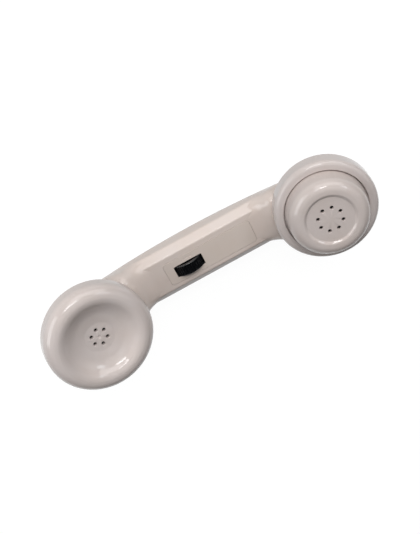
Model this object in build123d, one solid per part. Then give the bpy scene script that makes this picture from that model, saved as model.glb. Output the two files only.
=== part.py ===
from build123d import *
from math import asin, atan2, cos, degrees, radians, sin, sqrt, tan
import os

# Telephone handset lying on its back: X runs from the ear end to the mouth end,
# Z points up out of both faces, and the flat inner face of the handle is worked at Z = 0
# until the last step, which puts the origin under the middle of the whole handset.

# Places of the two ends
half_span = 72.65
ear_rim_height = 34.1
mouth_rim_height = 26.85
ear_tilt = 12.3
mouth_tilt = 12.0

# Handle
handle_half_width = 15.3
handle_thickness = 20.5
edge_chamfer = 4.4
edge_round = 2.0
back_arch_radius = 280.0
back_crown_radius = 47.5
back_corner_radius = 7.5
root_round = 9.0
mouth_root_round = 6.5
root_room_share = 0.57
handle_wall = 2.6
handle_overlap = 7.35
core_setback = 2.65

# Bowls that carry the caps
bowl_taper = 0.489
bowl_bottom_radius = 45.0
bowl_corner_radius = 13.0
ear_cap_overhang = 0.55
mouth_ring_overhang = 0.5
bowl_lift = 1.71
collar_wall = 2.2
collar_gap = 0.4
ear_collar_rise = 6.5
ledge_width = 2.0
ledge_thickness = 2.0
ledge_drop = 1.0

# Ear cap
ear_cap_radius = 31.75
ear_cap_height = 13.35
ear_cap_skirt = 2.95
ear_cap_roof = 2.3
ear_rim_round = 6.7
ear_rim_width = 9.15
dish_mouth_round_share = 0.265
dish_knee_share = 0.752
dish_knee_depth = 4.6
dish_knee_round_share = 0.62
dish_disc_share = 0.385
dish_depth = 6.2
ear_hole_radius = 1.05
ear_hole_circle = 4.74
ear_hole_count = 6
ear_hole_turn = 28.0
dimple_radius = 1.1
dimple_depth = 0.4

# Mouth ring and microphone drum
mouth_ring_radius = 30.1
mouth_ring_height = 11.9
mouth_ring_skirt = 2.7
mouth_ring_roof = 2.4
mouth_ring_round = 3.0
ring_dish = 0.4
ring_lip_round = 0.6
drum_gap = 0.45
mouth_ring_width = 6.0
drum_taper = 1.7
drum_height = 12.2
drum_crown_round = 6.0
drum_wall = 2.2
drum_flange_width = 2.2
drum_flange_thickness = 1.6
drum_rim_width = 7.7
drum_recess_depth = 1.0
drum_face_wall = 1.8
mouth_hole_radius = 1.1
mouth_hole_circle = 7.1
mouth_hole_count = 8
mouth_hole_turn = 20.6

# Control plate and its slot
plate_length = 58.1
plate_width = 14.9
plate_thickness = 1.5
plate_proud = 0.15
plate_corner = 2.0
plate_x = 3.85
plate_y = -0.65
plate_gap = 0.1
slot_length = 18.5
slot_width = 7.6
slot_corner = 0.5
window_margin = 1.5

# Volume wheel and its control
wheel_radius = 9.8
wheel_width = 6.0
wheel_stand = 3.0
wheel_x = -10.45
wheel_y = -1.4
wheel_ribs = 40
rib_depth = 0.45
shaft_radius = 1.5
shaft_clearance = 0.05
control_length = 9.5
control_depth = 4.6
control_gap = 0.5
bracket_depth = 1.6
bracket_length = 6.0
control_top = -3.0

# Amplifier board
board_thickness = 1.2
board_width = 21.0
board_start = -28.0
board_end = 34.0
board_top = -11.3
board_notch_gap = 0.8
post_radius = 2.2
screw_radius = 1.0
screw_head_radius = 1.9
screw_head_height = 1.2
board_screw_length = 4.0
board_screw_inset = 3.5
board_screw_side = 7.0
chip_length = 10.0
chip_width = 6.4
chip_height = 3.5
chip_x = 12.0
capacitor_radius = 2.6
capacitor_height = 6.2
capacitor_x = 24.5
capacitor_side = 6.0
resistor_radius = 1.1
resistor_length = 6.0
resistor_side = 6.5
resistor_spread = 4.0
part_edge = 0.4

# Receiver
receiver_flange_width = 4.3
receiver_wall = 1.2
receiver_flange_thickness = 1.5
receiver_depth = 10.6
gasket_thickness = 1.2
gasket_width = 2.6
faceplate_thickness = 0.8
diaphragm_thickness = 0.3
magnet_radius = 13.0
magnet_bore = 8.0
magnet_height = 4.5
pole_radius = 5.0
pole_gap = 1.2
plate_hole_count = 6
plate_hole_circle = 8.0
terminal_radius = 12.0
terminal_thickness = 1.6
terminal_spread = 6.0

# Microphone
capsule_radius = 4.9
capsule_height = 5.0
boot_radius = 9.5
mic_board_margin = 4.1
mic_board_thickness = 1.2
mic_board_height = 2.2
mic_post_inset = 3.0
mic_post_radius = 1.5
back_plate_thickness = 2.0
contact_ring_thickness = 0.4
contact_ring_width = 3.0
contact_ring_radii = (7.5, 14.5)
screen_thickness = 0.4
fit_gap = 0.15

# Cup under the drum, its springs and screws
cup_flange_width = 2.3
cup_wall = 1.6
cup_depth = 5.2
cup_flange_thickness = 1.4
spring_width = 3.0
spring_thickness = 0.4
spring_foot = 6.0
spring_lean = 2.0
spring_side = 4.0
cup_screw_radius = 0.9
cup_screw_head = 1.5
cup_screw_head_height = 1.1
cup_screw_length = 3.9

# Socket for the cord
jack_width = 11.0
jack_height = 10.0
jack_depth = 13.5
jack_reach = 24.75
jack_middle_height = 6.5
jack_gap = 0.1
socket_width = 7.9
socket_height = 6.8
socket_depth = 11.0
latch_width = 3.4
latch_height = 1.3
contact_pitch = 1.3
contact_size = 0.45
contact_slant = 1.3
contact_setback = 2.0

# Leads
lead_radius = 0.6
lead_gap = 0.2
lead_straight = 3.5
socket_lead_side = 1.5
mic_lead_back = 6.0
mic_lead_drop = 5.0

# How deep a collar is rooted in its bowl
collar_root = 1.6

nodes = {}
mic_lead_starts = []

# Reach of the forms and of the cuts that clear a space
handle_reach = half_span + handle_overlap
core_reach = half_span - core_setback
bar_reach = 2 * half_span
form_height = 3 * handle_thickness
clearing_radius = 1.5 * ear_cap_radius
clearing_height = 2 * handle_thickness

# Sizes that follow the two caps
ear_bowl_radius = ear_cap_radius - ear_cap_overhang
mouth_bowl_radius = mouth_ring_radius - mouth_ring_overhang
dish_mouth_radius = ear_cap_radius - ear_rim_width
dish_mouth_round = dish_mouth_round_share * dish_mouth_radius
dish_knee_radius = dish_knee_share * dish_mouth_radius
dish_knee_round = dish_knee_round_share * dish_mouth_radius
dish_disc_radius = dish_disc_share * dish_mouth_radius
drum_base_radius = mouth_ring_radius - mouth_ring_width
drum_top_radius = drum_base_radius - drum_taper
drum_recess_radius = drum_top_radius - drum_rim_width

# Heights along each cap's axis, counted from its rim plane
ear_collar_radius = ear_cap_radius - ear_cap_skirt - collar_gap
ear_collar_bore = ear_collar_radius - collar_wall
mouth_collar_radius = mouth_ring_radius - mouth_ring_skirt - collar_gap
mouth_collar_bore = mouth_collar_radius - collar_wall
receiver_seat = -ear_cap_height - ledge_drop
receiver_face = receiver_seat + receiver_flange_thickness
gasket_top = receiver_face + gasket_thickness
gasket_outer = ear_collar_bore - 2 * fit_gap
receiver_radius = gasket_outer - receiver_flange_width
flange_top = -mouth_ring_roof
flange_low = flange_top - drum_flange_thickness
mouth_collar_rise = mouth_ring_height + flange_low
drum_bore = drum_base_radius - drum_wall
mic_board_radius = drum_base_radius - mic_board_margin
mic_post_circle = mic_board_radius - mic_post_inset
ring_face = flange_low - contact_ring_thickness
cup_seat = -mouth_ring_height - ledge_drop
cup_rim_radius = mouth_collar_bore - 2 * fit_gap
cup_radius = cup_rim_radius - cup_flange_width
jack_front = half_span + jack_reach

# Heights in the handle, counted from its inner face
board_underside = board_top - board_thickness
wheel_axis_height = wheel_stand - wheel_radius
control_start = wheel_width / 2 + control_gap
wheel_place = Pos(wheel_x, wheel_y, wheel_axis_height)


def end_plane(x, z, tilt):
    """Plane of a cap's rim, with its normal along the cap's axis."""
    turn = radians(tilt)
    return Plane(origin=(x, 0, z), x_dir=(cos(turn), 0, -sin(turn)), z_dir=(sin(turn), 0, cos(turn)))


ear_rim = end_plane(-half_span, ear_rim_height, ear_tilt)
mouth_rim = end_plane(half_span, mouth_rim_height, -mouth_tilt)
ear_seam = ear_rim.offset(-ear_cap_height)
mouth_seam = mouth_rim.offset(-mouth_ring_height)


def bowl_depth(seam, tilt):
    """Depth of a bowl whose bottom stays a little above the line of the arched back."""
    to_back = seam.origin.Z + handle_thickness - back_drop(half_span)
    return to_back / cos(radians(tilt)) - bowl_lift


def root_limit(wanted, bowl_radius):
    """Round at a bowl's root, no larger than the bowl's room beside the handle allows."""
    return min(wanted, root_room_share * (bowl_radius - handle_half_width))


def strip(points, width):
    """Flat strip of a given width whose side view has these (X, Z) corners, centred on Y = 0."""
    return extrude(Plane.XZ * make_face(Polyline(*points, close=True)), width / 2, both=True)


def turned(points, rounds=()):
    """Solid of revolution about Z of an outline of (radius, height) points, with rounded corners."""
    outline = make_face(Polyline(*[(r, 0, h) for r, h in points], close=True))
    for (r, h), radius in rounds:
        corner = outline.vertices().sort_by_distance((r, 0, h))[0]
        outline = fillet(corner, radius)
    return revolve(outline, Axis.Z, 360)


def tube(outer, inner, low, high):
    """Plain ring or, with no inner radius, a disc between two heights."""
    ring = Pos(0, 0, low) * extrude(Circle(outer), high - low)
    if inner > 0:
        ring -= Pos(0, 0, low) * extrude(Circle(inner), high - low)
    return ring


def around(count, radius, start):
    """Places of holes evenly spread on a circle."""
    step = 360 / count
    return [Rot(0, 0, start + step * i) * Pos(radius, 0, 0) for i in range(count)]


def back_drop(x):
    """How far the arched back has risen at a distance from the middle."""
    return back_arch_radius - sqrt(back_arch_radius**2 - x**2)


def bowl(radius, depth, inset=0.0, up=8.0):
    """Cone with a rounded, slightly domed bottom; heights count from its seam plane."""
    slant = inset * sqrt(1 + bowl_taper**2)
    mouth = radius - slant
    deep = depth - inset
    dome = bowl_bottom_radius - inset
    centre = dome - deep
    a = 1 + bowl_taper**2
    b = 2 * (mouth * bowl_taper - centre)
    c = mouth**2 + centre**2 - dome**2
    low = (-b - sqrt(b * b - 4 * a * c)) / (2 * a)
    edge = mouth + bowl_taper * low
    middle = edge / 2
    bottom = ThreePointArc(
        (0, 0, -deep), (middle, 0, centre - sqrt(dome**2 - middle**2)), (edge, 0, low)
    )
    sides = Polyline((edge, 0, low), (mouth + bowl_taper * up, 0, up), (0, 0, up), (0, 0, -deep))
    outline = make_face([bottom, sides])
    corner = outline.vertices().sort_by_distance((edge, 0, low))[0]
    return revolve(fillet(corner, bowl_corner_radius - inset), Axis.Z, 360)


def on_ear(shape, plane=ear_seam):
    """Set a shape on the ear end, with the seam line of turned surfaces on its far side."""
    return plane.location * Rot(0, 0, 180) * shape


def back_form(inset=0.0, reach=handle_reach):
    """Arched back: a crowned section with rounded corners, turned about a far axis over the handle."""
    half = handle_half_width - inset
    crown = back_crown_radius - inset
    corner = back_corner_radius - inset
    centre = back_crown_radius - handle_thickness
    y = half - corner
    z = centre - sqrt((crown - corner) ** 2 - y**2)
    share = crown / (crown - corner)
    ty = y * share
    tz = centre - (centre - z) * share
    turn = atan2(tz - z, ty - y) / 2
    my = y + corner * cos(turn)
    mz = z + corner * sin(turn)
    low = centre - crown
    section = make_face([
        ThreePointArc((0, -ty, tz), (0, 0, low), (0, ty, tz)),
        ThreePointArc((0, ty, tz), (0, my, mz), (0, half, z)),
        Polyline((0, half, z), (0, half, form_height), (0, -half, form_height), (0, -half, z)),
        ThreePointArc((0, -half, z), (0, -my, mz), (0, -ty, tz)),
    ])
    centre_line = Axis((0, 0, back_arch_radius - handle_thickness), (0, 1, 0))
    angle = degrees(asin(reach / back_arch_radius))
    return revolve(section, centre_line, angle) + revolve(section, centre_line, -angle)


def face_form(inset=0.0, reach=bar_reach, soft=True):
    """Flat inner face with chamfered long edges, as a straight bar open below."""
    half = handle_half_width - inset
    chamfer_leg = edge_chamfer - inset * (2 - sqrt(2))
    top = -inset
    points = [
        (0, -half, -form_height),
        (0, -half, top - chamfer_leg),
        (0, -half + chamfer_leg, top),
        (0, half - chamfer_leg, top),
        (0, half, top - chamfer_leg),
        (0, half, -form_height),
    ]
    section = make_face(Polyline(*points, close=True))
    if soft:
        section = fillet([v for v in section.vertices() if v.Z > -form_height / 2], edge_round)
    bar = extrude(section, reach, dir=(1, 0, 0))
    return bar + extrude(section, reach, dir=(-1, 0, 0))


def meeting_edges(joined, first, second):
    """Edges where the surfaces of two joined solids meet, apart from the bowl's flat lid."""
    first_skin = Shell(first.faces())
    second_skin = Shell(second.faces())
    found = []
    for edge in joined.edges():
        if edge.geom_type == GeomType.LINE:
            continue
        spots = [Vertex(*(edge @ at)) for at in (0.15, 0.5, 0.85)]
        if all(max(first_skin.distance_to(s), second_skin.distance_to(s)) < 2e-3 for s in spots):
            found.append(edge)
    return found


def rooted(form, round_ear, round_mouth):
    """Join a long form to both bowls and fill the inside corners with rolling rounds."""
    for end, radius in ((ear_bowl, round_ear), (mouth_bowl, round_mouth)):
        joined = form + end
        form = joined.fillet(radius, meeting_edges(joined, form, end))
    return form


ear_bowl_depth = bowl_depth(ear_seam, ear_tilt)
mouth_bowl_depth = bowl_depth(mouth_seam, mouth_tilt)
ear_bowl = on_ear(bowl(ear_bowl_radius, ear_bowl_depth))
mouth_bowl = mouth_seam.location * bowl(mouth_bowl_radius, mouth_bowl_depth)


def handle_shell():
    """One moulding: the handle and both bowls, hollow, with the collars that the caps screw on."""
    ear_round = root_limit(root_round, ear_bowl_radius)
    mouth_round = root_limit(mouth_root_round, mouth_bowl_radius)
    upper = rooted(face_form(), ear_round, mouth_round)
    lower = rooted(back_form(), ear_round, mouth_round)
    body = upper & lower
    for seam, outer, rise in (
        (ear_seam, ear_collar_radius, ear_collar_rise),
        (mouth_seam, mouth_collar_radius, mouth_collar_rise),
    ):
        body -= seam.location * tube(clearing_radius, 0, 0, clearing_height)
        body += seam.location * tube(outer, 0, -collar_root, rise)
    body -= bowl_hollow(ear_seam, ear_bowl_radius, ear_bowl_depth, ear_collar_bore)
    body -= bowl_hollow(mouth_seam, mouth_bowl_radius, mouth_bowl_depth, mouth_collar_bore)
    for seam, bore in ((ear_seam, ear_collar_bore), (mouth_seam, mouth_collar_bore)):
        ledge = tube(bore + collar_root / 2, bore - ledge_width, -ledge_drop - ledge_thickness, -ledge_drop)
        body += seam.location * ledge
    body -= back_form(handle_wall, core_reach) & face_form(handle_wall, core_reach, soft=False)
    body -= Pos(plate_x, plate_y, 0) * plate_blank(plate_gap, plate_proud - plate_thickness, clearing_height)
    window = Box(slot_length + 2 * window_margin, slot_width + 2 * window_margin, 4 * handle_wall)
    body -= Pos(wheel_x, wheel_y, 0) * window
    for place in board_screw_places():
        floor = place.position.X
        low = back_drop(floor) - handle_thickness + handle_wall / 2
        body += place * tube(post_radius, screw_radius + shaft_clearance, low, board_underside)
    pocket = Box(2 * jack_depth, jack_width + 2 * jack_gap, jack_height + 2 * jack_gap)
    return body - Pos(jack_front, 0, jack_middle_height) * pocket


def bowl_hollow(seam, radius, depth, bore):
    """Room inside a bowl: its own form made thinner by the wall, no wider than the collar's bore."""
    inside = bowl(radius, depth, handle_wall)
    turned_inside = on_ear(inside) if seam is ear_seam else seam.location * inside
    return turned_inside & (seam.location * tube(bore, 0, -2 * depth, clearing_height / 4))


def plate_blank(gap, low, high):
    """Round-cornered block of the control plate's outline, grown by a gap."""
    outline = RectangleRounded(plate_length + 2 * gap, plate_width + 2 * gap, plate_corner + gap)
    return Pos(0, 0, low) * extrude(outline, high - low)


def control_plate():
    """Flat cover let into the handle's inner face, with the slot that the wheel stands out of."""
    plate = plate_blank(0, plate_proud - plate_thickness, plate_proud)
    plate = chamfer(plate.faces().sort_by(Axis.Z)[-1].edges(), plate_proud)
    slot = Pos(wheel_x - plate_x, wheel_y - plate_y, -2 * plate_thickness)
    slot = slot * extrude(RectangleRounded(slot_length, slot_width, slot_corner), 4 * plate_thickness)
    return Pos(plate_x, plate_y, 0) * (plate - slot)


def board_screw_places():
    """The four screws stand near the corners of the amplifier board."""
    xs = (board_start + board_screw_inset, board_end - board_screw_inset)
    return [Pos(x, y, 0) for x in xs for y in (-board_screw_side, board_screw_side)]


def volume_wheel():
    """Thumbwheel on a cross axis with a notched rim."""
    step = 360 / wheel_ribs
    rim = []
    for i in range(wheel_ribs):
        for share, radius in ((0.0, wheel_radius), (0.55, wheel_radius), (0.78, wheel_radius - rib_depth)):
            angle = radians(step * (i + share))
            rim.append((radius * cos(angle), radius * sin(angle)))
    disc = strip(rim, wheel_width)
    bore = Rot(90, 0, 0) * Cylinder(shaft_radius, 2 * wheel_width)
    return wheel_place * (disc - bore)


def cross_rod(radius, start, end):
    """Round rod along Y between two distances from the wheel's middle."""
    return wheel_place * Pos(0, (start + end) / 2, 0) * Rot(90, 0, 0) * Cylinder(radius, end - start)


def control_body():
    """Case of the rotary volume control, standing on the board beside the wheel."""
    height = control_top - board_top
    block = Box(control_length, control_depth, height)
    block = Pos(wheel_x, wheel_y + control_start + control_depth / 2, board_top + height / 2) * block
    return block - cross_rod(shaft_radius + shaft_clearance, 0, 4 * control_depth)


def wheel_bracket():
    """Upright that carries the shaft on the wheel's other side."""
    top = wheel_axis_height + bracket_length / 2
    height = top - board_top
    block = Box(bracket_length, bracket_depth, height)
    block = Pos(wheel_x, wheel_y - control_start - bracket_depth / 2, board_top + height / 2) * block
    return block - cross_rod(shaft_radius + shaft_clearance, -4 * control_depth, 0)


def amplifier_board():
    """Long board inside the handle, notched round the wheel and screwed to four posts."""
    length = board_end - board_start
    board = Pos((board_start + board_end) / 2, 0, board_underside + board_thickness / 2)
    board = board * Box(length, board_width, board_thickness)
    reach = sqrt(wheel_radius**2 - (board_top - wheel_axis_height) ** 2) + board_notch_gap
    notch = Box(2 * reach, wheel_width + 2 * board_notch_gap, 4 * board_thickness)
    board -= Pos(wheel_x, wheel_y, board_top) * notch
    for place in board_screw_places():
        board -= place * tube(screw_radius + shaft_clearance, 0, board_underside - 1, board_top + 1)
    return board


def board_screws():
    """Four screws, heads on the board and shanks in the posts."""
    screw = tube(screw_head_radius, 0, board_top, board_top + screw_head_height)
    screw += tube(screw_radius, 0, board_top - board_screw_length, board_top)
    return [place * screw for place in board_screw_places()]


def board_parts():
    """The amplifier chip, three capacitors and four resistors on the board's upper side."""
    chip = Pos(chip_x, 0, board_top + chip_height / 2) * Box(chip_length, chip_width, chip_height)
    nodes["amplifier_chip"] = chamfer(chip.faces().sort_by(Axis.Z)[-1].edges(), part_edge)
    can = tube(capacitor_radius, 0, board_top, board_top + capacitor_height)
    can = fillet(can.faces().sort_by(Axis.Z)[-1].edges(), part_edge)
    nodes["board_capacitors"] = [Pos(capacitor_x, y, 0) * can for y in (-capacitor_side, 0, capacitor_side)]
    resistor = Pos(0, 0, board_top + resistor_radius) * Rot(0, 90, 0) * Cylinder(resistor_radius, resistor_length)
    nodes["board_resistors"] = [
        Pos(chip_x + x, y, 0) * resistor
        for x in (-resistor_spread, resistor_spread)
        for y in (-resistor_side, resistor_side)
    ]


def ear_cap():
    """Screw cap with a broad round rim, a deep dish and six holes round a small dimple."""
    lip = ear_cap_radius - ear_cap_skirt
    under = -dish_depth - ear_cap_roof
    outline = [
        (0, -dish_depth),
        (dish_disc_radius, -dish_depth),
        (dish_knee_radius, -dish_knee_depth),
        (dish_mouth_radius, 0),
        (ear_cap_radius, 0),
        (ear_cap_radius, -ear_cap_height),
        (lip, -ear_cap_height),
        (lip, -ear_cap_roof),
        (dish_mouth_radius, -ear_cap_roof),
        (dish_knee_radius, -dish_knee_depth - ear_cap_roof),
        (dish_disc_radius, under),
        (0, under),
    ]
    rounds = [
        ((dish_disc_radius, -dish_depth), dish_mouth_round),
        ((dish_knee_radius, -dish_knee_depth), dish_knee_round),
        ((dish_mouth_radius, 0), dish_mouth_round),
        ((ear_cap_radius, 0), ear_rim_round),
        ((lip, -ear_cap_roof), ear_rim_round - ear_cap_skirt),
    ]
    cap = turned(outline, rounds)
    cap += tube(gasket_outer, gasket_outer - gasket_width, gasket_top, -ear_cap_roof / 2)
    for place in around(ear_hole_count, ear_hole_circle, ear_hole_turn):
        cap -= place * tube(ear_hole_radius, 0, under - 1, 1)
    cap -= tube(dimple_radius, 0, -dish_depth - dimple_depth, 1)
    return ear_rim.location * cap


def receiver():
    """The receiver unit: a flanged case clamped on a ledge, with its magnet, coil and diaphragm."""
    case_floor = receiver_seat - receiver_depth
    inside = receiver_radius - receiver_wall
    case = tube(gasket_outer, 0, receiver_seat, receiver_face)
    case += tube(receiver_radius, 0, case_floor, receiver_seat)
    case -= tube(inside, 0, case_floor + receiver_wall, receiver_face)
    plate = tube(gasket_outer - gasket_width - fit_gap, 0, receiver_face, receiver_face + faceplate_thickness)
    for place in around(plate_hole_count, plate_hole_circle, 0):
        plate -= place * tube(ear_hole_radius, 0, receiver_face - 1, receiver_face + 2)
    floor = case_floor + receiver_wall
    board_low = case_floor - terminal_thickness
    terminals = tube(terminal_radius, 0, board_low, case_floor)
    screws = []
    for side in (-terminal_spread, terminal_spread):
        terminals -= Pos(0, side, 0) * tube(screw_radius + shaft_clearance, 0, board_low - 1, case_floor)
        screw = tube(screw_radius, 0, board_low, case_floor)
        screw += tube(screw_head_radius, 0, board_low - screw_head_height, board_low)
        screws.append(ear_rim.location * Pos(0, side, 0) * screw)
    pole_top = receiver_face - diaphragm_thickness - pole_gap
    made = {
        "receiver_case": case,
        "receiver_faceplate": plate,
        "receiver_gasket": tube(gasket_outer, gasket_outer - gasket_width, receiver_face, gasket_top),
        "receiver_diaphragm": tube(inside - fit_gap, 0, receiver_face - diaphragm_thickness, receiver_face),
        "receiver_magnet": tube(magnet_radius, magnet_bore, floor, floor + magnet_height),
        "receiver_pole_piece": tube(pole_radius, 0, floor, pole_top),
        "receiver_coil": tube(magnet_bore - fit_gap, pole_radius + fit_gap, floor, pole_top - pole_gap),
        "receiver_terminal_board": terminals,
        "ear_dust_screen": tube(
            dish_disc_radius - 1, 0, -dish_depth - ear_cap_roof - screen_thickness, -dish_depth - ear_cap_roof
        ),
    }
    for name, shape in made.items():
        nodes[name] = ear_rim.location * shape
    nodes["receiver_terminal_screws"] = screws


def mouth_ring():
    """Screw ring that clamps the microphone drum, with a slightly dished annulus."""
    hole = drum_base_radius + drum_gap
    lip = mouth_ring_radius - mouth_ring_skirt
    outline = [
        (hole, -ring_dish),
        (mouth_ring_radius, 0),
        (mouth_ring_radius, -mouth_ring_height),
        (lip, -mouth_ring_height),
        (lip, -mouth_ring_roof),
        (hole, -mouth_ring_roof),
    ]
    rounds = [((mouth_ring_radius, 0), mouth_ring_round), ((hole, -ring_dish), ring_lip_round)]
    return mouth_rim.location * turned(outline, rounds)


def mic_housing():
    """Tapered drum with a rounded crown, a shallow face recess, eight holes and a foot flange."""
    face = drum_height - drum_recess_depth
    under = face - drum_face_wall
    outline = [
        (0, face),
        (drum_recess_radius - drum_recess_depth / 2, face),
        (drum_recess_radius, drum_height),
        (drum_top_radius, drum_height),
        (drum_base_radius, flange_top),
        (drum_base_radius + drum_flange_width, flange_top),
        (drum_base_radius + drum_flange_width, flange_low),
        (drum_bore, flange_low),
        (drum_top_radius - drum_wall, under),
        (0, under),
    ]
    rounds = [
        ((drum_top_radius, drum_height), drum_crown_round),
        ((drum_recess_radius, drum_height), drum_recess_depth),
        ((drum_top_radius - drum_wall, under), drum_crown_round - drum_wall),
    ]
    drum = turned(outline, rounds)
    for place in around(mouth_hole_count, mouth_hole_circle, mouth_hole_turn):
        drum -= place * tube(mouth_hole_radius, 0, under - 1, drum_height)
    return mouth_rim.location * drum


def microphone():
    """What the drum holds: capsule in a rubber boot on a round board, over a plate with two rings."""
    under = drum_height - drum_recess_depth - drum_face_wall
    board_high = mic_board_height + mic_board_thickness
    screen_low = under - screen_thickness
    plate_high = flange_low + back_plate_thickness
    drum_slope = (drum_bore - drum_top_radius + drum_wall) / (under - flange_low)
    plate_radius = drum_bore - drum_slope * back_plate_thickness - fit_gap
    plate = tube(plate_radius, 0, flange_low, plate_high)
    for place in around(3, mic_post_circle, 90):
        plate += place * tube(mic_post_radius, 0, plate_high, mic_board_height)
    made = {
        "mic_dust_screen": tube(boot_radius, 0, screen_low, under),
        "mic_boot": tube(boot_radius, capsule_radius + fit_gap, board_high, screen_low),
        "mic_capsule": tube(capsule_radius, 0, board_high, board_high + capsule_height),
        "mic_board": tube(mic_board_radius, 0, mic_board_height, board_high),
        "mic_back_plate": plate,
    }
    for name, shape in made.items():
        nodes[name] = mouth_rim.location * shape
    half = contact_ring_width / 2
    nodes["mic_contact_rings"] = [
        mouth_rim.location * tube(r + half, r - half, ring_face, flange_low) for r in contact_ring_radii
    ]


def transmitter_cup():
    """Cup on a ledge under the drum, with two leaf springs that press on the contact rings."""
    rim_top = cup_seat + cup_flange_thickness
    low = rim_top - cup_depth
    floor = low + cup_wall
    cup = turned([
        (0, low),
        (cup_radius, low),
        (cup_radius, cup_seat),
        (cup_rim_radius, cup_seat),
        (cup_rim_radius, rim_top),
        (cup_radius - cup_wall, rim_top),
        (cup_radius - cup_wall, floor),
        (0, floor),
    ])
    springs = []
    screws = []
    for radius, side in zip(contact_ring_radii, (-spring_side, spring_side)):
        tip = -sqrt(radius**2 - side**2)
        heel = tip + spring_lean
        toe = heel + spring_foot
        side_view = [
            (toe, floor),
            (heel, floor),
            (tip, ring_face),
            (tip + 1.5 * spring_thickness, ring_face),
            (heel + spring_thickness, floor + spring_thickness),
            (toe, floor + spring_thickness),
        ]
        leaf = strip(side_view, spring_width)
        middle = (heel + toe) / 2
        hole = Pos(middle, 0, 0) * tube(cup_screw_radius + shaft_clearance, 0, low - 1, floor + 1)
        head_low = floor + spring_thickness
        screw = tube(cup_screw_head, 0, head_low, head_low + cup_screw_head_height)
        screw += tube(cup_screw_radius, 0, head_low - cup_screw_length, head_low)
        cup -= Pos(0, side, 0) * hole
        springs.append(mouth_rim.location * Pos(0, side, 0) * (leaf - hole))
        screws.append(mouth_rim.location * Pos(middle, side, 0) * screw)
        mic_lead_starts.append((middle, side, head_low - cup_screw_length))
    nodes["transmitter_cup"] = mouth_rim.location * cup
    nodes["cup_contact_springs"] = springs
    nodes["cup_screws"] = screws


def cord_socket():
    """Socket for the cord's plug in the wall of the mouth bowl, with four spring contacts."""
    middle = Pos(jack_front - jack_depth / 2, 0, jack_middle_height)
    housing = middle * Box(jack_depth, jack_width, jack_height)
    room = Pos(jack_front - socket_depth / 2, 0, jack_middle_height)
    housing -= room * Box(socket_depth, socket_width, socket_height)
    latch = Pos(0, 0, -(socket_height + latch_height) / 2)
    housing -= room * latch * Box(socket_depth, latch_width, latch_height)
    nodes["cord_socket"] = housing
    top = jack_middle_height + socket_height / 2
    back = jack_front - socket_depth
    side_view = [
        (jack_front - contact_setback, top),
        (back, top - contact_slant + contact_size),
        (back, top - contact_slant),
        (jack_front - contact_setback, top - contact_size),
    ]
    contact = strip(side_view, contact_size)
    nodes["socket_contacts"] = [Pos(0, contact_pitch * (i - 1.5), 0) * contact for i in range(4)]


def lead(points):
    """Thin insulated wire: straight runs joined by arcs as large as the runs allow."""
    places = [Vector(point) for point in points]
    radii = []
    for before, here, after in zip(places, places[1:], places[2:]):
        turn = radians((here - before).get_angle(after - here))
        shorter = min((here - before).length, (after - here).length)
        radii.append(0.45 * shorter / tan(turn / 2))
    path = FilletPolyline(*places, radius=radii)
    start = Plane(origin=path @ 0, z_dir=path % 0)
    return sweep(start * Circle(lead_radius), path)


def start_of_lead(rim, place):
    """First two points of a lead that leaves a terminal straight along its end's axis."""
    x, y, h = place
    return [(rim.location * Pos(x, y, h - drop)).position for drop in (0, lead_straight)]


def leads():
    """Pairs of wires from the receiver, the springs and the socket to the two ends of the board."""
    level = board_top - board_thickness / 2
    screw_end = receiver_seat - receiver_depth - terminal_thickness - screw_head_height
    ear_pair = []
    for side in (-terminal_spread, terminal_spread):
        route = start_of_lead(ear_rim, (0, side, screw_end))
        route += [(x * half_span, side, z) for x, z in ((-1.053, -2.0), (-0.9085, -5.0), (-0.6607, -8.6))]
        ear_pair.append(lead(route + [(board_start - lead_gap, side, level)]))
    nodes["receiver_leads"] = ear_pair
    mic_pair = []
    for place in mic_lead_starts:
        side = place[1]
        route = start_of_lead(mouth_rim, place)
        route.append((route[1].X - mic_lead_back, side, route[1].Z - mic_lead_drop))
        route.append((0.7295 * half_span, side, -8.0))
        mic_pair.append(lead(route + [(board_end + lead_gap, side, level)]))
    nodes["microphone_leads"] = mic_pair
    back = jack_front - jack_depth - lead_gap
    socket_pair = []
    for side in (-socket_lead_side, socket_lead_side):
        bends = ((1.0461, 1.2), (0.8947, -3.6), (0.6745, -9.0))
        route = [(back, side, 3.6)] + [(x * half_span, side, z) for x, z in bends]
        socket_pair.append(lead(route + [(board_end + lead_gap, side, level)]))
    nodes["socket_leads"] = socket_pair


def build():
    """Make every piece in the working frame."""
    nodes["handle_shell"] = handle_shell()
    nodes["control_plate"] = control_plate()
    nodes["volume_wheel"] = volume_wheel()
    nodes["wheel_shaft"] = cross_rod(
        shaft_radius, -control_start - bracket_depth, control_start + control_depth
    )
    nodes["control_body"] = control_body()
    nodes["wheel_bracket"] = wheel_bracket()
    nodes["amplifier_board"] = amplifier_board()
    nodes["board_screws"] = board_screws()
    board_parts()
    nodes["ear_cap"] = ear_cap()
    receiver()
    nodes["mouth_ring"] = mouth_ring()
    nodes["mic_housing"] = mic_housing()
    microphone()
    transmitter_cup()
    cord_socket()
    leads()


build()
outside = [nodes[name] for name in ("handle_shell", "ear_cap", "mouth_ring", "mic_housing")]
lowest_x = min(shape.bounding_box().min.X for shape in outside)
highest_x = max(shape.bounding_box().max.X for shape in outside)
settle = Pos(-(lowest_x + highest_x) / 2, 0, handle_thickness)
print("shift", settle.position)
print("wheel axis", (settle * wheel_place).position)
os.makedirs("parts", exist_ok=True)
for name, shape in nodes.items():
    pieces = shape if isinstance(shape, list) else [shape]
    moved = [settle * piece for piece in pieces]
    export_step(moved[0] if len(moved) == 1 else Compound(children=moved), f"parts/{name}.step")
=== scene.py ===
from math import atan2, cos, pi, radians, sin, tan

import bpy
from mathutils import Matrix, Vector


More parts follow.
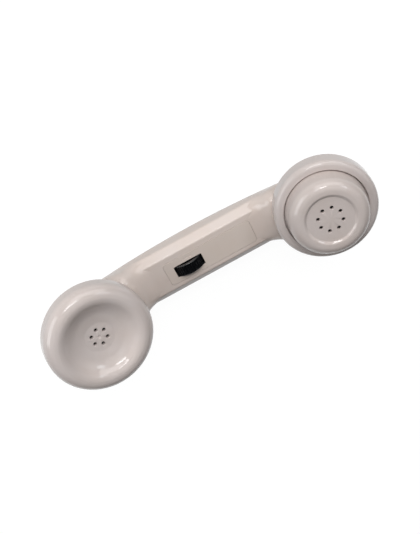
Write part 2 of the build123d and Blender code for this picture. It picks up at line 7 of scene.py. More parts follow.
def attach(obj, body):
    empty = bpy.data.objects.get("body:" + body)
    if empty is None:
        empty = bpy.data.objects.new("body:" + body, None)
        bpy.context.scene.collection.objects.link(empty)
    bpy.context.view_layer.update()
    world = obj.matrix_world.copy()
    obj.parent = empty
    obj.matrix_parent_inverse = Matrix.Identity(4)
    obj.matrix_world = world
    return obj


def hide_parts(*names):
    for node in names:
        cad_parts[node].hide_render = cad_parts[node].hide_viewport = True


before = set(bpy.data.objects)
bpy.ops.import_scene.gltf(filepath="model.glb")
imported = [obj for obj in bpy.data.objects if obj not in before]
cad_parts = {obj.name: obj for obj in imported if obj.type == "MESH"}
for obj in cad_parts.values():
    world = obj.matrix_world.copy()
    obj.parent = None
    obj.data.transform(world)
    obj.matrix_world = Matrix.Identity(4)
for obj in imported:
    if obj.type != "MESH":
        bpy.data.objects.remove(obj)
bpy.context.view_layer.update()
scene = bpy.context.scene
mm = 0.001
touching = 0.01 * mm   # points nearer than this count as one place


# Housekeeping

def clearSelection():
    if bpy.context.object and bpy.context.object.mode != "OBJECT":
        bpy.ops.object.mode_set(mode="OBJECT")
    bpy.ops.object.select_all(action="DESELECT")


def pick(piece):
    clearSelection()
    piece.select_set(True)
    bpy.context.view_layer.objects.active = piece


def edit(piece, kind="VERT"):
    pick(piece)
    bpy.ops.object.mode_set(mode="EDIT")
    bpy.ops.mesh.select_mode(type=kind)
    bpy.ops.mesh.select_all(action="DESELECT")


def choose(piece, kind, test):
    # Selects the points or faces that pass the test, and stays in edit mode
    edit(piece, kind)
    bpy.ops.object.mode_set(mode="OBJECT")
    for item in piece.data.polygons if kind == "FACE" else piece.data.vertices:
        item.select = bool(test(item))
    bpy.ops.object.mode_set(mode="EDIT")


def cleanUp(piece, weld=0.004 * mm):
    # Doubles merged, faces turned outwards
    edit(piece)
    bpy.ops.mesh.select_all(action="SELECT")
    bpy.ops.mesh.remove_doubles(threshold=weld)
    bpy.ops.mesh.normals_make_consistent(inside=False)
    bpy.ops.object.mode_set(mode="OBJECT")


def useModifier(piece, kind, **settings):
    pick(piece)
    modifier = piece.modifiers.new(kind.title(), kind)
    for name, value in settings.items():
        setattr(modifier, name, value)
    bpy.ops.object.modifier_apply(modifier=modifier.name)


def remove(piece):
    bpy.data.objects.remove(piece, do_unlink=True)


def cutAway(piece, cutter, solver="EXACT"):
    useModifier(piece, "BOOLEAN", object=cutter, operation="DIFFERENCE", solver=solver)
    remove(cutter)


def breakEdges(piece, width, angle):
    # Small rounds on the edges that turn by more than the angle
    useModifier(
        piece, "BEVEL", width=width * mm, segments=2, limit_method="ANGLE", angle_limit=radians(angle)
    )


def smooth(piece, angle=32):
    # Large faces keep their own normals beside small edge rounds
    pick(piece)
    bpy.ops.object.shade_smooth_by_angle(angle=radians(angle))
    useModifier(piece, "WEIGHTED_NORMAL", weight=100, keep_sharp=True)


def settle(piece, matrix):
    # The piece's place goes into its mesh
    piece.matrix_world = matrix @ piece.matrix_world
    pick(piece)
    bpy.ops.object.transform_apply(location=True, rotation=True, scale=True)


def finishPiece(piece, material, body, slot, *nodes):
    piece.data.materials.clear()
    piece.data.materials.append(material)
    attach(piece, body)
    if nodes:
        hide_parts(*nodes)


# Turned pieces: an outline is drawn corner by corner, its corners are rounded, and it is spun

def drawOutline(name, corners):
    # corners are (radius, height, rounding) in millimetres, in order round the section
    bpy.ops.mesh.primitive_plane_add(size=1 * mm)
    piece = bpy.context.object
    piece.name = name
    edit(piece)
    bpy.ops.mesh.select_all(action="SELECT")
    bpy.ops.mesh.merge(type="CENTER")
    first, last = corners[0], corners[-1]
    bpy.ops.transform.translate(value=(first[0] * mm, 0, first[1] * mm))
    for before, after in zip(corners, corners[1:]):
        step = ((after[0] - before[0]) * mm, 0, (after[1] - before[1]) * mm)
        bpy.ops.mesh.extrude_region_move(TRANSFORM_OT_translate={"value": step})
    bpy.ops.object.mode_set(mode="OBJECT")
    if first[0] > 0 and last[0] > 0:  # a section clear of the axis is closed
        choose(piece, "VERT", lambda point: point.index in (0, len(corners) - 1))
        bpy.ops.mesh.edge_face_add()
        bpy.ops.object.mode_set(mode="OBJECT")
    return piece


def roundCorners(piece, corners, finest=1.6):
    # Each corner is bevelled by the length that gives its arc the radius asked for
    for i, (r, h, rounding) in enumerate(corners):
        if rounding <= 0:
            continue
        here = Vector((r, h))
        before = Vector(corners[i - 1][:2]) - here
        after = Vector(corners[(i + 1) % len(corners)][:2]) - here
        turn = pi - before.angle(after)
        corner = Vector((r * mm, 0, h * mm))
        choose(piece, "VERT", lambda point: (point.co - corner).length < touching)
        steps = max(3, int(turn * rounding / finest) + 3)
        bpy.ops.mesh.bevel(affect="VERTICES", offset=rounding * tan(turn / 2) * mm, segments=steps)
        bpy.ops.object.mode_set(mode="OBJECT")


def turnPiece(name, corners, steps=144):
    clearSelection()
    piece = drawOutline(name, corners)
    roundCorners(piece, corners)
    edit(piece)
    bpy.ops.mesh.select_all(action="SELECT")
    bpy.ops.mesh.spin(steps=steps, angle=2 * pi, center=(0, 0, 0), axis=(0, 0, 1))
    bpy.ops.object.mode_set(mode="OBJECT")
    cleanUp(piece)
    return piece


roundHole = {
    "flare": 0.22,          # how much wider a hole is at its softly broken top edge
    "bend": (0.35, 0.3),    # the point half round that edge, out and down, as shares of the flare
    "over": 0.02,
    "reach": 2,             # how far the cutter stands out of the wall on both sides
    "steps": 28,
}


def cutHoles(piece, holes, radius, low, high):
    # low and high are the underside and the highest point over the holes
    c = roundHole
    flare, reach = c["flare"], c["reach"]
    bendOut, bendDown = c["bend"]
    for x, y, top in holes:
        corners = [
            (0, low - reach, 0),
            (radius, low - reach, 0),
            (radius, top - flare, 0),
            (radius + flare * bendOut, top - flare * bendDown, 0),
            (radius + flare, top + c["over"], 0),
            (radius + flare, high + reach, 0),
            (0, high + reach, 0),
        ]
        cutter = turnPiece("cutter", corners, c["steps"])
        settle(cutter, Matrix.Translation((x * mm, y * mm, 0)))
        cutAway(piece, cutter)


def ringOf(count, radius, turn, top):
    angles = [radians(turn + 360 * i / count) for i in range(count)]
    return [(radius * cos(a), radius * sin(a), top) for a in angles]


# Both ends have an axis of their own; its zero height is the top of the cap's rim

ends = {
    "halfSpan": 72.65,
    "earHeight": 34.1,
    "mouthHeight": 26.85,
    "earTilt": 12.3,
    "mouthTilt": 12.0,
    "faceHeight": 20.5,      # the handle's flat inner face over the floor
    "shiftX": 0.974,         # puts the middle of the outer box at zero
}


def endFrame(x, height, tilt):
    place = Matrix.Translation(((x + ends["shiftX"]) * mm, 0, (height + ends["faceHeight"]) * mm))
    return place @ Matrix.Rotation(radians(tilt), 4, "Y")


earFrame = endFrame(-ends["halfSpan"], ends["earHeight"], ends["earTilt"])
mouthFrame = endFrame(ends["halfSpan"], ends["mouthHeight"], -ends["mouthTilt"])
handleFrame = Matrix.Translation((ends["shiftX"] * mm, 0, ends["faceHeight"] * mm))


# Shader maths written as sums

class Wire:
    def __init__(self, tree, socket):
        self.tree = tree
        self.socket = socket

    def maths(self, operation, first, second):
        node = self.tree.nodes.new("ShaderNodeMath")
        node.operation = operation
        for i, value in enumerate((first, second)):
            if isinstance(value, Wire):
                self.tree.links.new(value.socket, node.inputs[i])
            else:
                node.inputs[i].default_value = value
        return Wire(self.tree, node.outputs[0])

    def __add__(self, other):
        return self.maths("ADD", self, other)

    def __radd__(self, other):
        return self.maths("ADD", other, self)

    def __sub__(self, other):
        return self.maths("SUBTRACT", self, other)

    def __rsub__(self, other):
        return self.maths("SUBTRACT", other, self)

    def __mul__(self, other):
        return self.maths("MULTIPLY", self, other)

    def __rmul__(self, other):
        return self.maths("MULTIPLY", other, self)


class Finish:
    # One material with its Principled shader; constant values are set on the shader's own sockets
    def __init__(self, name, **constants):
        self.material = bpy.data.materials.new(name)
        self.material.use_nodes = True
        self.tree = self.material.node_tree
        self.shader = self.tree.nodes["Principled BSDF"]
        for socket, value in constants.items():
            self.shader.inputs[socket.replace("_", " ")].default_value = value
        self.place = self.add("ShaderNodeTexCoord", {}, {}, "Object")

    def add(self, kind, settings, values, output=0):
        node = self.tree.nodes.new(kind)
        for name, value in settings.items():
            setattr(node, name, value)
        for socket, value in values.items():
            if isinstance(value, Wire):
                self.tree.links.new(value.socket, node.inputs[socket])
            else:
                node.inputs[socket].default_value = value
        return Wire(self.tree, node.outputs[output])

    def noise(self, size, detail=3, roughness=0.5, stretch=(1, 1, 1)):
        # size is the width of a patch in millimetres
        scaled = self.add("ShaderNodeMapping", {}, {"Vector": self.place, "Scale": stretch})
        values = {"Vector": scaled, "Scale": 1000 / size, "Detail": detail, "Roughness": roughness}
        return self.add("ShaderNodeTexNoise", {}, values)

    def spread(self, value, low, high):
        # 0 up to the low value, 1 from the high one on
        values = {"Value": value, "From Min": low, "From Max": high}
        return self.add("ShaderNodeMapRange", {"clamp": True}, values)

    def pattern(self, grain, reach):
        # grain is what noise takes, and reach the levels between which the pattern comes out
        return self.spread(self.noise(*grain), *reach)

    def blendColours(self, share, first, second):
        values = {0: share, 6: first, 7: second}
        return self.add("ShaderNodeMix", {"data_type": "RGBA"}, values, 2)

    def drive(self, socket, wire):
        self.tree.links.new(wire.socket, self.shader.inputs[socket])

    def bumpBy(self, height, distance, strength=1.0):
        # distance is in millimetres
        values = {"Height": height, "Distance": distance * mm, "Strength": strength}
        self.drive("Normal", self.add("ShaderNodeBump", {}, values))


def colour(*levels):
    # Display levels from 0 to 255, made linear
    shares = [level / 255 for level in levels]
    return tuple(s / 12.92 if s < 0.04 else ((s + 0.055) / 1.055) ** 2.4 for s in shares) + (1,)


# Finishes

casePlastic = {
    # patterns: (patch size in millimetres, detail, roughness, stretch), (low, high)
    "broad": ((38, 4, 0.55), (0.35, 0.68)),
    "cloudy": ((9, 3), (0.3, 0.75)),
    "rubbed": ((16, 5, 0.62), (0.56, 0.78)),
    "specks": ((0.7, 1), (0.74, 0.78)),
    "sparse": ((21, 2), (0.52, 0.66)),
    "handling": ((24, 4, 0.6), (0.35, 0.7)),
    "hairlines": ((1.1, 2, 0.5, (1, 9, 1)), (0.6, 0.72)),
    "peelWaves": (2.6, 2, 0.45),
    "peelGrain": (0.35, 2),
    # how much each one does
    "broadShare": 0.7,
    "cloudyShare": 0.2,
    "speckShare": 0.35,
    "handledRoughness": 0.08,
    "scratchedRoughness": 0.05,
    "grainShare": 0.12,
    "scratchDepth": 0.1,
    "grime": (172, 152, 136),
    "roughness": 0.09,
    "peel": 0.008,
    "peelStrength": 0.6,
}


def glossyCase(name, tone, warm, grimeAmount=0.12):
    c = casePlastic
    grime = colour(*c["grime"])
    finish = Finish(name, IOR=1.5)
    broad = finish.pattern(*c["broad"])
    cloudy = finish.pattern(*c["cloudy"])
    warmth = c["broadShare"] * broad + c["cloudyShare"] * cloudy
    base = finish.blendColours(warmth, colour(*tone), colour(*warm))
    rubbed = finish.pattern(*c["rubbed"])
    base = finish.blendColours(grimeAmount * rubbed, base, grime)
    specks = finish.pattern(*c["specks"])
    sparse = finish.pattern(*c["sparse"])
    base = finish.blendColours(c["speckShare"] * specks * sparse, base, grime)
    finish.drive("Base Color", base)
    handling = finish.pattern(*c["handling"])
    hairlines = finish.pattern(*c["hairlines"])
    worn = c["roughness"] + c["handledRoughness"] * handling + c["scratchedRoughness"] * hairlines
    finish.drive("Roughness", worn)
    peel = finish.noise(*c["peelWaves"]) + c["grainShare"] * finish.noise(*c["peelGrain"])
    finish.bumpBy(peel - c["scratchDepth"] * hairlines, c["peel"], c["peelStrength"])
    return finish.material


wheelPlastic = {
    "tone": (12, 13, 16),
    "worn": (34, 36, 42),
    "wear": ((1.8, 4, 0.65), (0.5, 0.75)),
    "wearShare": 0.5,
    "roughness": 0.2,
    "wornRoughness": 0.25,
    "grain": (0.4, 2),
    "grainDepth": 0.012,
}


def satinBlack():
    c = wheelPlastic
    finish = Finish("thumbwheel black", IOR=1.5)
    wear = finish.pattern(*c["wear"])
    base = finish.blendColours(c["wearShare"] * wear, colour(*c["tone"]), colour(*c["worn"]))
    finish.drive("Base Color", base)
    finish.drive("Roughness", c["roughness"] + c["wornRoughness"] * wear)
    finish.bumpBy(finish.noise(*c["grain"]), c["grainDepth"])
    return finish.material


def plainFinish(name, first, second, roughness, grain, metal=0.0, bump=0.01, stretch=(1, 1, 1)):
    # grain is the width of a patch in millimetres; the bumps are a sixth as wide
    finish = Finish(name, Metallic=metal)
    patches = finish.pattern((grain, 4, 0.6, stretch), (0.35, 0.7))
    finish.drive("Base Color", finish.blendColours(patches, colour(*first), colour(*second)))
    finish.drive("Roughness", roughness + 0.16 * patches)
    finish.bumpBy(finish.noise(grain / 6, 3, 0.5, stretch), bump)
    return finish.material


def brushedMetal(name, first, second, roughness, stretch):
    return plainFinish(name, first, second, roughness, grain=2, metal=1.0, bump=0.004, stretch=stretch)


screenCloth = {
    "pitch": 0.45,
    "dark": (14, 14, 15),
    "light": (46, 45, 44),
    "roughness": (0.75, 0.15),     # the least, and what the raised threads add
    "depth": 0.08,
}


def wovenScreen():
    c = screenCloth
    finish = Finish("woven screen")
    waves = []
    for axis in (0, 1):
        along = finish.add("ShaderNodeSeparateXYZ", {}, {"Vector": finish.place}, axis)
        angle = 2 * pi / (c["pitch"] * mm) * along
        waves.append(finish.add("ShaderNodeMath", {"operation": "SINE"}, {0: angle}))
    weave = finish.spread(waves[0] * waves[1], -1, 1)
    finish.drive("Base Color", finish.blendColours(weave, colour(*c["dark"]), colour(*c["light"])))
    least, added = c["roughness"]
    finish.drive("Roughness", least + added * weave)
    finish.bumpBy(weave, c["depth"])
    return finish.material


finishes = {
    "handle": glossyCase("handle plastic", (221, 209, 202), (218, 202, 192), 0.14),
    "ear": glossyCase("ear cap plastic", (217, 208, 205), (214, 202, 196)),
    "mouth": glossyCase("mouth ring plastic", (212, 203, 200), (207, 195, 189)),
    "drum": glossyCase("drum plastic", (211, 201, 197), (206, 193, 186)),
    "plate": glossyCase("cover plate plastic", (218, 206, 198), (214, 200, 189), 0.1),
    "wheel": satinBlack(),
    "inner": plainFinish("inner plastic", (38, 38, 40), (58, 57, 58), 0.45, 6),
    "board": plainFinish("circuit board", (24, 88, 52), (36, 108, 60), 0.3, 9),
    "steel": brushedMetal("bright steel", (168, 168, 170), (196, 196, 198), 0.22, (1, 8, 1)),
    "brass": brushedMetal("brass", (196, 160, 92), (214, 182, 116), 0.24, (8, 1, 1)),
    "rubber": plainFinish("black rubber", (22, 22, 23), (42, 41, 40), 0.6, 3, bump=0.03),
    "aluminium": brushedMetal("aluminium", (196, 197, 200), (216, 216, 218), 0.26, (1, 6, 1)),
    "copper": plainFinish(
        "enamelled copper", (150, 74, 38), (188, 102, 58), 0.3, 0.6, metal=0.9, bump=0.04, stretch=(1, 1, 6)
    ),
    "screen": wovenScreen(),
}
print("finishes made")


# Ear cap: broad round rim, deep dish, six holes round a dimple

earCap = {
    "radius": 31.75,
    "height": 13.35,
    "skirt": 2.95,
    "roof": 2.3,
    "rimRound": 6.7,
    "dishMouth": (22.6, 6.0),         # radius, rounding
    "dishKnee": (17.0, 4.6, 14.0),    # radius, depth, rounding
    "disc": (8.7, 6.2, 6.0),          # radius, depth, rounding
    "holeRadius": 1.05,
    "holeCircle": 4.74,
    "holeCount": 6,
    "holeTurn": 28,
    "dimpleRadius": 1.1,
    "dimpleDepth": 0.4,
    "dimpleFloor": (0.75, 0.25),      # share of the dimple's radius, rounding
    "dimpleEdgeRound": 0.2,
    "lipRound": 0.35,
}


def buildEarCap():
    c = earCap
    lip = c["radius"] - c["skirt"]
    mouth, mouthRound = c["dishMouth"]
    knee, kneeDepth, kneeRound = c["dishKnee"]
    disc, discDepth, discRound = c["disc"]
    dimple, floorRound = c["dimpleRadius"], c["dimpleFloor"][1]
    corners = [
        (0, -discDepth - c["dimpleDepth"], 0),
        (dimple * c["dimpleFloor"][0], -discDepth - c["dimpleDepth"], floorRound),
        (dimple, -discDepth, c["dimpleEdgeRound"]),
        (disc, -discDepth, discRound),
        (knee, -kneeDepth, kneeRound),
        (mouth, 0, mouthRound),
        (c["radius"], 0, c["rimRound"]),
        (c["radius"], -c["height"], c["lipRound"]),
        (lip, -c["height"], c["lipRound"]),
        (lip, -c["roof"], c["rimRound"] - c["skirt"]),
        (mouth, -c["roof"], 0),
        (knee, -kneeDepth - c["roof"], 0),
        (disc, -discDepth - c["roof"], 0),
        (0, -discDepth - c["roof"], 0),
    ]
    piece = turnPiece("earCapShell", corners)
    holes = ringOf(c["holeCount"], c["holeCircle"], c["holeTurn"], -discDepth)
    cutHoles(piece, holes, c["holeRadius"], -discDepth - c["roof"], 0)
    smooth(piece)
    settle(piece, earFrame)
    finishPiece(piece, finishes["ear"], "handset", "case_plastic", "ear_cap")


buildEarCap()
print("ear cap made")


# Mouth ring and the drum that stands out of it

mouthEnd = {
    "radius": 30.1,
    "height": 11.9,
    "skirt": 2.7,
    "roof": 2.4,
    "round": 3.0,
    "lipRound": 0.35,
    "dishing": 0.4,
    "ringHoleRounds": (0.6, 0.2),     # outside, inside
    "gap": 0.45,
    "drumBase": 24.1,
    "drumTop": 22.4,
    "drumHeight": 12.2,
    "crownRound": 6.0,
    "wall": 2.2,
    "flangeWidth": 2.2,
    "flangeThickness": 1.6,
    "recessRadius": 14.7,
    "recessDepth": 1.0,
    "recessFlare": 0.3,
    "recessRounds": (1.2, 1.6),       # foot, edge
    "faceWall": 1.8,
    "holeRadius": 1.1,
    "holeCircle": 7.1,
    "holeCount": 8,
    "holeTurn": 20.6,
}


def buildMouthRing():
    c = mouthEnd
    hole = c["drumBase"] + c["gap"]
    lip = c["radius"] - c["skirt"]
    outside, inside = c["ringHoleRounds"]
    corners = [
        (hole, -c["dishing"], outside),
        (c["radius"], 0, c["round"]),
        (c["radius"], -c["height"], c["lipRound"]),
        (lip, -c["height"], c["lipRound"]),
        (lip, -c["roof"], 0),
        (hole, -c["roof"], inside),
    ]
    piece = turnPiece("mouthRingShell", corners)
    smooth(piece)
    settle(piece, mouthFrame)
    finishPiece(piece, finishes["mouth"], "handset", "case_plastic", "mouth_ring")


def buildDrum():
    c = mouthEnd
    face = c["drumHeight"] - c["recessDepth"]
    under = face - c["faceWall"]
    foot = c["drumBase"] + c["flangeWidth"]
    flangeTop = -c["roof"]
    flangeLow = flangeTop - c["flangeThickness"]
    footRound, edgeRound = c["recessRounds"]
    corners = [
        (0, face, 0),
        (c["recessRadius"] - c["recessDepth"], face, footRound),
        (c["recessRadius"] + c["recessFlare"], c["drumHeight"], edgeRound),
        (c["drumTop"], c["drumHeight"], c["crownRound"]),
        (c["drumBase"], flangeTop, 0),
        (foot, flangeTop, 0),
        (foot, flangeLow, 0),
        (c["drumBase"] - c["wall"], flangeLow, 0),
        (c["drumTop"] - c["wall"], under, c["crownRound"] - c["wall"]),
        (0, under, 0),
    ]
    piece = turnPiece("drumShell", corners)
    holes = ringOf(c["holeCount"], c["holeCircle"], c["holeTurn"], face)
    cutHoles(piece, holes, c["holeRadius"], under, face)
    smooth(piece)
    settle(piece, mouthFrame)
    finishPiece(piece, finishes["drum"], "handset", "case_plastic", "mic_housing")


buildMouthRing()
buildDrum()
print("mouth end made")


# Cover plate in the handle's inner face, with the slot and a small ramp-shaped mark sunk into it

coverPlate = {
    "length": 58.1,
    "width": 14.9,
    "thickness": 1.5,
    "proud": 0.15,
    "cornerRound": 2.0,
    "middle": (3.85, -0.65),
    "slot": (18.5, 7.6),
    "slotMiddle": (-10.45, -1.4),
    "slotRound": 0.5,
    "edgeRound": 0.14,
    "edgeAngle": 50,
    "cutReach": 1,                     # how far the slot's cutter stands out on both sides
    "wedge": (7.4, 1.1, 0.25, 0.22),   # length, width at the loud end, share of it at the other, depth
    "wedgeMiddle": (-10.45, 4.35),
}


def raiseBlock(sheet, middle, low, height):
    # The sheet goes to its place and becomes a block
    edit(sheet)
    bpy.ops.mesh.select_all(action="SELECT")
    bpy.ops.transform.translate(value=(middle[0] * mm, middle[1] * mm, low * mm))
    bpy.ops.mesh.extrude_region_move(TRANSFORM_OT_translate={"value": (0, 0, height * mm)})
    bpy.ops.object.mode_set(mode="OBJECT")
    cleanUp(sheet)


def roundedBlock(name, length, width, corner, low, high, middle):
    clearSelection()
    bpy.ops.mesh.primitive_plane_add(size=1)
    block = bpy.context.object
    block.name = name
    edit(block)
    bpy.ops.mesh.select_all(action="SELECT")
    bpy.ops.transform.resize(value=(length * mm, width * mm, 1))
    bpy.ops.mesh.bevel(affect="VERTICES", offset=corner * mm, segments=8)
    raiseBlock(block, middle, low, high - low)
    return block


def wedgeCutter(length, width, quietShare, depth, middle, top):
    # Volume mark: a ramp that widens towards the loud end
    clearSelection()
    bpy.ops.mesh.primitive_plane_add(size=1)
    wedge = bpy.context.object
    for v in wedge.data.vertices:
        quiet = v.co.x < 0
        v.co.x *= length * mm
        v.co.y *= (quietShare * width if quiet else width) * mm
    raiseBlock(wedge, middle, top - depth, 2 * depth)
    return wedge


def buildCoverPlate():
    c = coverPlate
    low, high, reach = c["proud"] - c["thickness"], c["proud"], c["cutReach"]
    plate = roundedBlock("coverPlate", c["length"], c["width"], c["cornerRound"], low, high, c["middle"])
    slotPlace = (low - reach, high + reach, c["slotMiddle"])
    cutAway(plate, roundedBlock("slotCutter", *c["slot"], c["slotRound"], *slotPlace))
    cutAway(plate, wedgeCutter(*c["wedge"], c["wedgeMiddle"], high))
    breakEdges(plate, c["edgeRound"], c["edgeAngle"])
    smooth(plate)
    settle(plate, handleFrame)
    finishPiece(plate, finishes["plate"], "handset", "case_plastic", "control_plate")


buildCoverPlate()
print("cover plate made")


# The handle's roots: a skin over the moulding that stands out of it only in the hollows, where the
# handle flares into both bowls

handleRoots = {
    "fineness": 1.0,
    "bandSpare": 4,
    "faceRadius": 12.0,                    # hollows between the inner face and the bowls
    "sideRadius": 42.0,                    # hollows between the handle's sides and the bowls
    "ridgeRadius": 7.7,                    # the edge where those two meet
    "sunk": 0.02,                          # the skin lies this far inside the moulding elsewhere
    "blade": (144.0, 30.6, 36.0, 12.0),    # length, width, height, middle height
    "slab": (120.0, 90.0, 22.0, -11.0),
    "plateRoom": (59.6, 16.6, 40.0, -10.0, 3.7),  # kept clear; the last is its middle along the handle
    "reach": 64.0,                         # the skin ends this far from the handle's middle
    "endRoom": (60.0, 120.0, 120.0),
    "solver": "MANIFOLD",
    "smoothing": (0.5, 3),
    "sharpAngle": 60,
}


def addBlock(length, width, height, level, along=0.0):
    clearSelection()
    bpy.ops.mesh.primitive_cube_add(
        size=1 * mm, location=(along * mm, 0, level * mm), scale=(length, width, height)
    )
    block = bpy.context.object
    settle(block, handleFrame)
    return block


def copyOf(piece):
    twin = bpy.data.objects.new(piece.name + "Copy", piece.data.copy())
    twin.matrix_world = piece.matrix_world
    scene.collection.objects.link(twin)
    settle(twin, Matrix.Identity(4))
    cleanUp(twin)
    return twin


def join(first, other):
    pick(first)
    other.select_set(True)
    bpy.ops.object.join()


def shiftSurface(piece, *levels):
    # Even offsets one after another, outwards and inwards, in millimetres
    fineness, spare = handleRoots["fineness"], handleRoots["bandSpare"]
    tree = bpy.data.node_groups.new("even offset", "GeometryNodeTree")
    for way in ("INPUT", "OUTPUT"):
        tree.interface.new_socket("Geometry", in_out=way, socket_type="NodeSocketGeometry")
    last = tree.nodes.new("NodeGroupInput").outputs[0]
    for level in levels:
        field = tree.nodes.new("GeometryNodeMeshToSDFGrid")
        field.inputs["Voxel Size"].default_value = fineness * mm
        field.inputs["Band Width"].default_value = int(abs(level) / fineness) + spare
        tree.links.new(last, field.inputs["Mesh"])
        surface = tree.nodes.new("GeometryNodeGridToMesh")
        surface.inputs["Threshold"].default_value = level * mm
        tree.links.new(field.outputs[0], surface.inputs["Grid"])
        last = surface.outputs[0]
    tree.links.new(last, tree.nodes.new("NodeGroupOutput").inputs[0])
    useModifier(piece, "NODES", node_group=tree)


def buildRoots():
    c = handleRoots
    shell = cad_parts["handle_shell"]
    sides, face = copyOf(shell), copyOf(shell)
    join(sides, addBlock(*c["blade"]))
    join(face, addBlock(*c["slab"]))
    shiftSurface(sides, c["sideRadius"], -c["sideRadius"] - c["ridgeRadius"])
    shiftSurface(face, c["faceRadius"], -c["faceRadius"] - c["ridgeRadius"])
    useModifier(sides, "BOOLEAN", object=face, operation="INTERSECT", solver=c["solver"])
    remove(face)
    shiftSurface(sides, c["ridgeRadius"] - c["sunk"])
    cutAway(sides, addBlock(*c["plateRoom"]), c["solver"])
    for way in (-1, 1):
        middle = way * (c["reach"] + c["endRoom"][0] / 2)
        cutAway(sides, addBlock(*c["endRoom"], 0, middle), c["solver"])
    sides.name = "handleRoots"
    factor, rounds = c["smoothing"]
    useModifier(sides, "SMOOTH", factor=factor, iterations=rounds)
    smooth(sides, c["sharpAngle"])
    finishPiece(sides, finishes["handle"], "handset", "case_plastic")


buildRoots()
print("handle roots made")


# Volume wheel: a ribbed rim between two flat cheeks

wheel = {
    "radius": 9.8,
    "width": 6.0,
    "boreRadius": 1.5,
    "boreReach": 9,
    "boreSteps": 48,
    "ribs": 40,
    "facesPerRib": 3,          # the last of them is the groove
    "grooveInset": 0.03,
    "ribDepth": 0.45,
    "middle": (-10.45, -1.4, -6.8),
    "edgeRound": 0.22,
    "edgeAngle": 60,
    "cheekInset": 1.3,
    "cheekSlope": 0.3,
    "cheekDepth": 0.5,
    "sharpAngle": 25,
}


def buildWheel():
    c = wheel
    clearSelection()
    sides = c["facesPerRib"] * c["ribs"]
    bpy.ops.mesh.primitive_cylinder_add(
        vertices=sides, radius=c["radius"] * mm, depth=c["width"] * mm, rotation=(pi / 2, 0, 0)
    )
    piece = bpy.context.object
    piece.name = "volumeWheel"
    settle(piece, Matrix.Identity(4))

    def isGroove(face):
        turn = (atan2(face.center.z, face.center.x) / (2 * pi)) % 1
        last = int(turn * sides) % c["facesPerRib"] == c["facesPerRib"] - 1
        return last and abs(face.normal.y) < 0.5

    def isCheek(face):
        return abs(face.normal.y) > 0.9 and abs(face.center.y) > 0.45 * c["width"] * mm

    choose(piece, "FACE", isGroove)
    bpy.ops.mesh.inset(thickness=c["grooveInset"] * mm, depth=-c["ribDepth"] * mm, use_individual=True)
    bpy.ops.object.mode_set(mode="OBJECT")
    choose(piece, "FACE", isCheek)
    bpy.ops.mesh.inset(thickness=c["cheekInset"] * mm, use_individual=True)
    bpy.ops.mesh.inset(thickness=c["cheekSlope"] * mm, depth=-c["cheekDepth"] * mm, use_individual=True)
    bpy.ops.object.mode_set(mode="OBJECT")
    breakEdges(piece, c["edgeRound"], c["edgeAngle"])
    bore, reach = c["boreRadius"], c["boreReach"]
    corners = [(0, -reach, 0), (bore, -reach, 0), (bore, reach, 0), (0, reach, 0)]
    cutter = turnPiece("boreCutter", corners, c["boreSteps"])
    settle(cutter, Matrix.Rotation(pi / 2, 4, "X"))
    cutAway(piece, cutter)
    smooth(piece, c["sharpAngle"])
    settle(piece, handleFrame @ Matrix.Translation([v * mm for v in c["middle"]]))
    finishPiece(piece, finishes["wheel"], "wheel", "black_plastic", "volume_wheel")


buildWheel()
print("volume wheel made")


# The pieces whose CAD form is the finished form get their finish here

nodeFinishes = {
    "handle": ["handle_shell"],
    "inner": [
        "control_body", "wheel_bracket", "amplifier_chip", "board_resistors",
        "receiver_terminal_board", "mic_back_plate", "transmitter_cup", "cord_socket",
    ],
    "board": ["amplifier_board", "mic_board"],
    "steel": ["wheel_shaft", "board_screws", "receiver_magnet", "receiver_pole_piece"],
    "brass": [
        "receiver_terminal_screws", "mic_contact_rings", "cup_contact_springs", "cup_screws",
        "socket_contacts",
    ],
    "rubber": ["receiver_gasket", "mic_boot", "receiver_leads", "microphone_leads", "socket_leads"],
    "aluminium": [
        "board_capacitors", "receiver_case", "receiver_faceplate", "receiver_diaphragm", "mic_capsule",
    ],
    "copper": ["receiver_coil"],
    "screen": ["ear_dust_screen", "mic_dust_screen"],
}

for finishName, nodes in nodeFinishes.items():
    for node in nodes:
        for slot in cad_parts[node].material_slots:
            slot.material = finishes[finishName]
print("inner pieces finished")


# Floor, lights and camera; the studio's lengths are in metres

studio = {
    "floorSize": 6.0,
    "floorTone": 0.09,
    "floorShade": 0.99,            # its darker patches, as a share of the tone
    "floorPatches": ((300, 2), (0.3, 0.7)),
    "floorShine": 0.1,
    "floorGlow": 0.96,
    "worldTone": (1.0, 0.95, 0.9),
    "worldStrength": 0.03,
    "aim": (0, 0, 0.03),           # the point that all lamps face
}

lamps = {
    # name: (direction azimuth, elevation, distance, width, height, watts, colour)
    "front": (66, 30, 1.3, 1.4, 0.8, 9.0, (1.0, 0.99, 0.98)),
    "left": (150, 26, 1.4, 1.1, 0.8, 9.0, (0.98, 0.99, 1.0)),
    "top": (60, 75, 1.4, 0.8, 0.8, 1.7, (1.0, 0.99, 0.98)),
    "right": (5, 40, 1.4, 0.7, 0.7, 1.0, (1.0, 0.98, 0.95)),
    "softbox": (91, 52, 1.3, 0.5, 0.18, 3.5, (1.0, 1.0, 1.0)),
    "window": (27, 50, 1.3, 0.28, 0.24, 1.1, (0.9, 0.94, 1.0)),
}


def grey(level):
    return (level, level, level, 1)


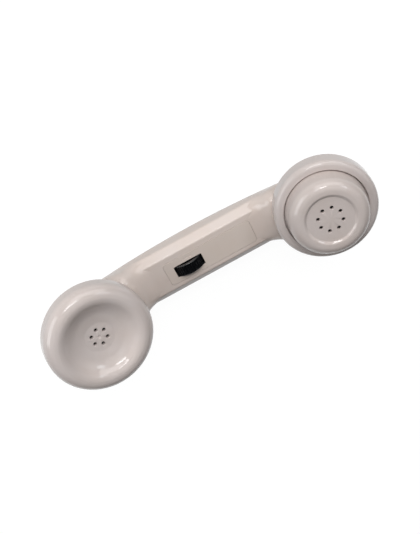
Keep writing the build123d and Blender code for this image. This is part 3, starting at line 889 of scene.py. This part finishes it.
def buildFloor():
    clearSelection()
    bpy.ops.mesh.primitive_plane_add(size=studio["floorSize"], location=(0, 0, 0))
    floor = bpy.context.object
    floor.name = "studioFloor"
    finish = Finish("studio floor", Roughness=0.9, Emission_Strength=1.0)
    finish.shader.inputs["Specular IOR Level"].default_value = studio["floorShine"]
    patches = finish.pattern(*studio["floorPatches"])
    tone = studio["floorTone"]
    base = finish.blendColours(patches, grey(tone), grey(tone * studio["floorShade"]))
    finish.drive("Base Color", base)
    # What looks at the floor straight, in a reflection or through something clear sees it pale
    rays = ("Is Camera Ray", "Is Glossy Ray", "Is Transmission Ray")
    seen, mirrored, passed = [finish.add("ShaderNodeLightPath", {}, {}, ray) for ray in rays]
    lit = finish.blendColours(seen + mirrored + passed, grey(0), grey(studio["floorGlow"]))
    finish.drive("Emission Color", lit)
    floor.data.materials.append(finish.material)


def buildWorld():
    world = bpy.data.worlds.new("studio")
    world.use_nodes = True
    background = world.node_tree.nodes["Background"]
    background.inputs["Color"].default_value = (*studio["worldTone"], 1)
    background.inputs["Strength"].default_value = studio["worldStrength"]
    scene.world = world


def buildLamps():
    aim = Vector(studio["aim"])
    for name, (azimuth, elevation, distance, width, height, watts, tone) in lamps.items():
        a, e = radians(azimuth), radians(elevation)
        way = Vector((cos(a) * cos(e), sin(a) * cos(e), sin(e)))
        light = bpy.data.lights.new(name, "AREA")
        light.shape = "RECTANGLE"
        light.size, light.size_y = width, height
        light.energy = watts
        light.color = tone
        lamp = bpy.data.objects.new(name, light)
        lamp.location = aim + way * distance
        lamp.rotation_euler = way.to_track_quat("Z", "Y").to_euler()
        scene.collection.objects.link(lamp)


view = {
    "place": (-9.37, 185.48, 388.8),    # millimetres from the middle of the handle's inner face
    "right": (0.8777, -0.421, 0.231),
    "up": (0.4795, 0.7894, -0.383),
    "focalPixels": 720,
    "longSide": 534,
    "sensor": 36,
    "clipStart": 0.01,
}


def buildCamera():
    camera = bpy.data.objects.new("camera", bpy.data.cameras.new("camera"))
    right, up = Vector(view["right"]).normalized(), Vector(view["up"])
    up = (up - up.dot(right) * right).normalized()
    turn = Matrix((right, up, right.cross(up))).transposed().to_4x4()
    camera.matrix_world = handleFrame @ Matrix.Translation([v * mm for v in view["place"]]) @ turn
    camera.data.sensor_width = view["sensor"]
    camera.data.lens = view["focalPixels"] * view["sensor"] / view["longSide"]
    camera.data.clip_start = view["clipStart"]
    scene.collection.objects.link(camera)
    scene.camera = camera


buildFloor()
buildWorld()
buildLamps()
buildCamera()
scene.view_settings.view_transform = "Standard"
print("studio made")
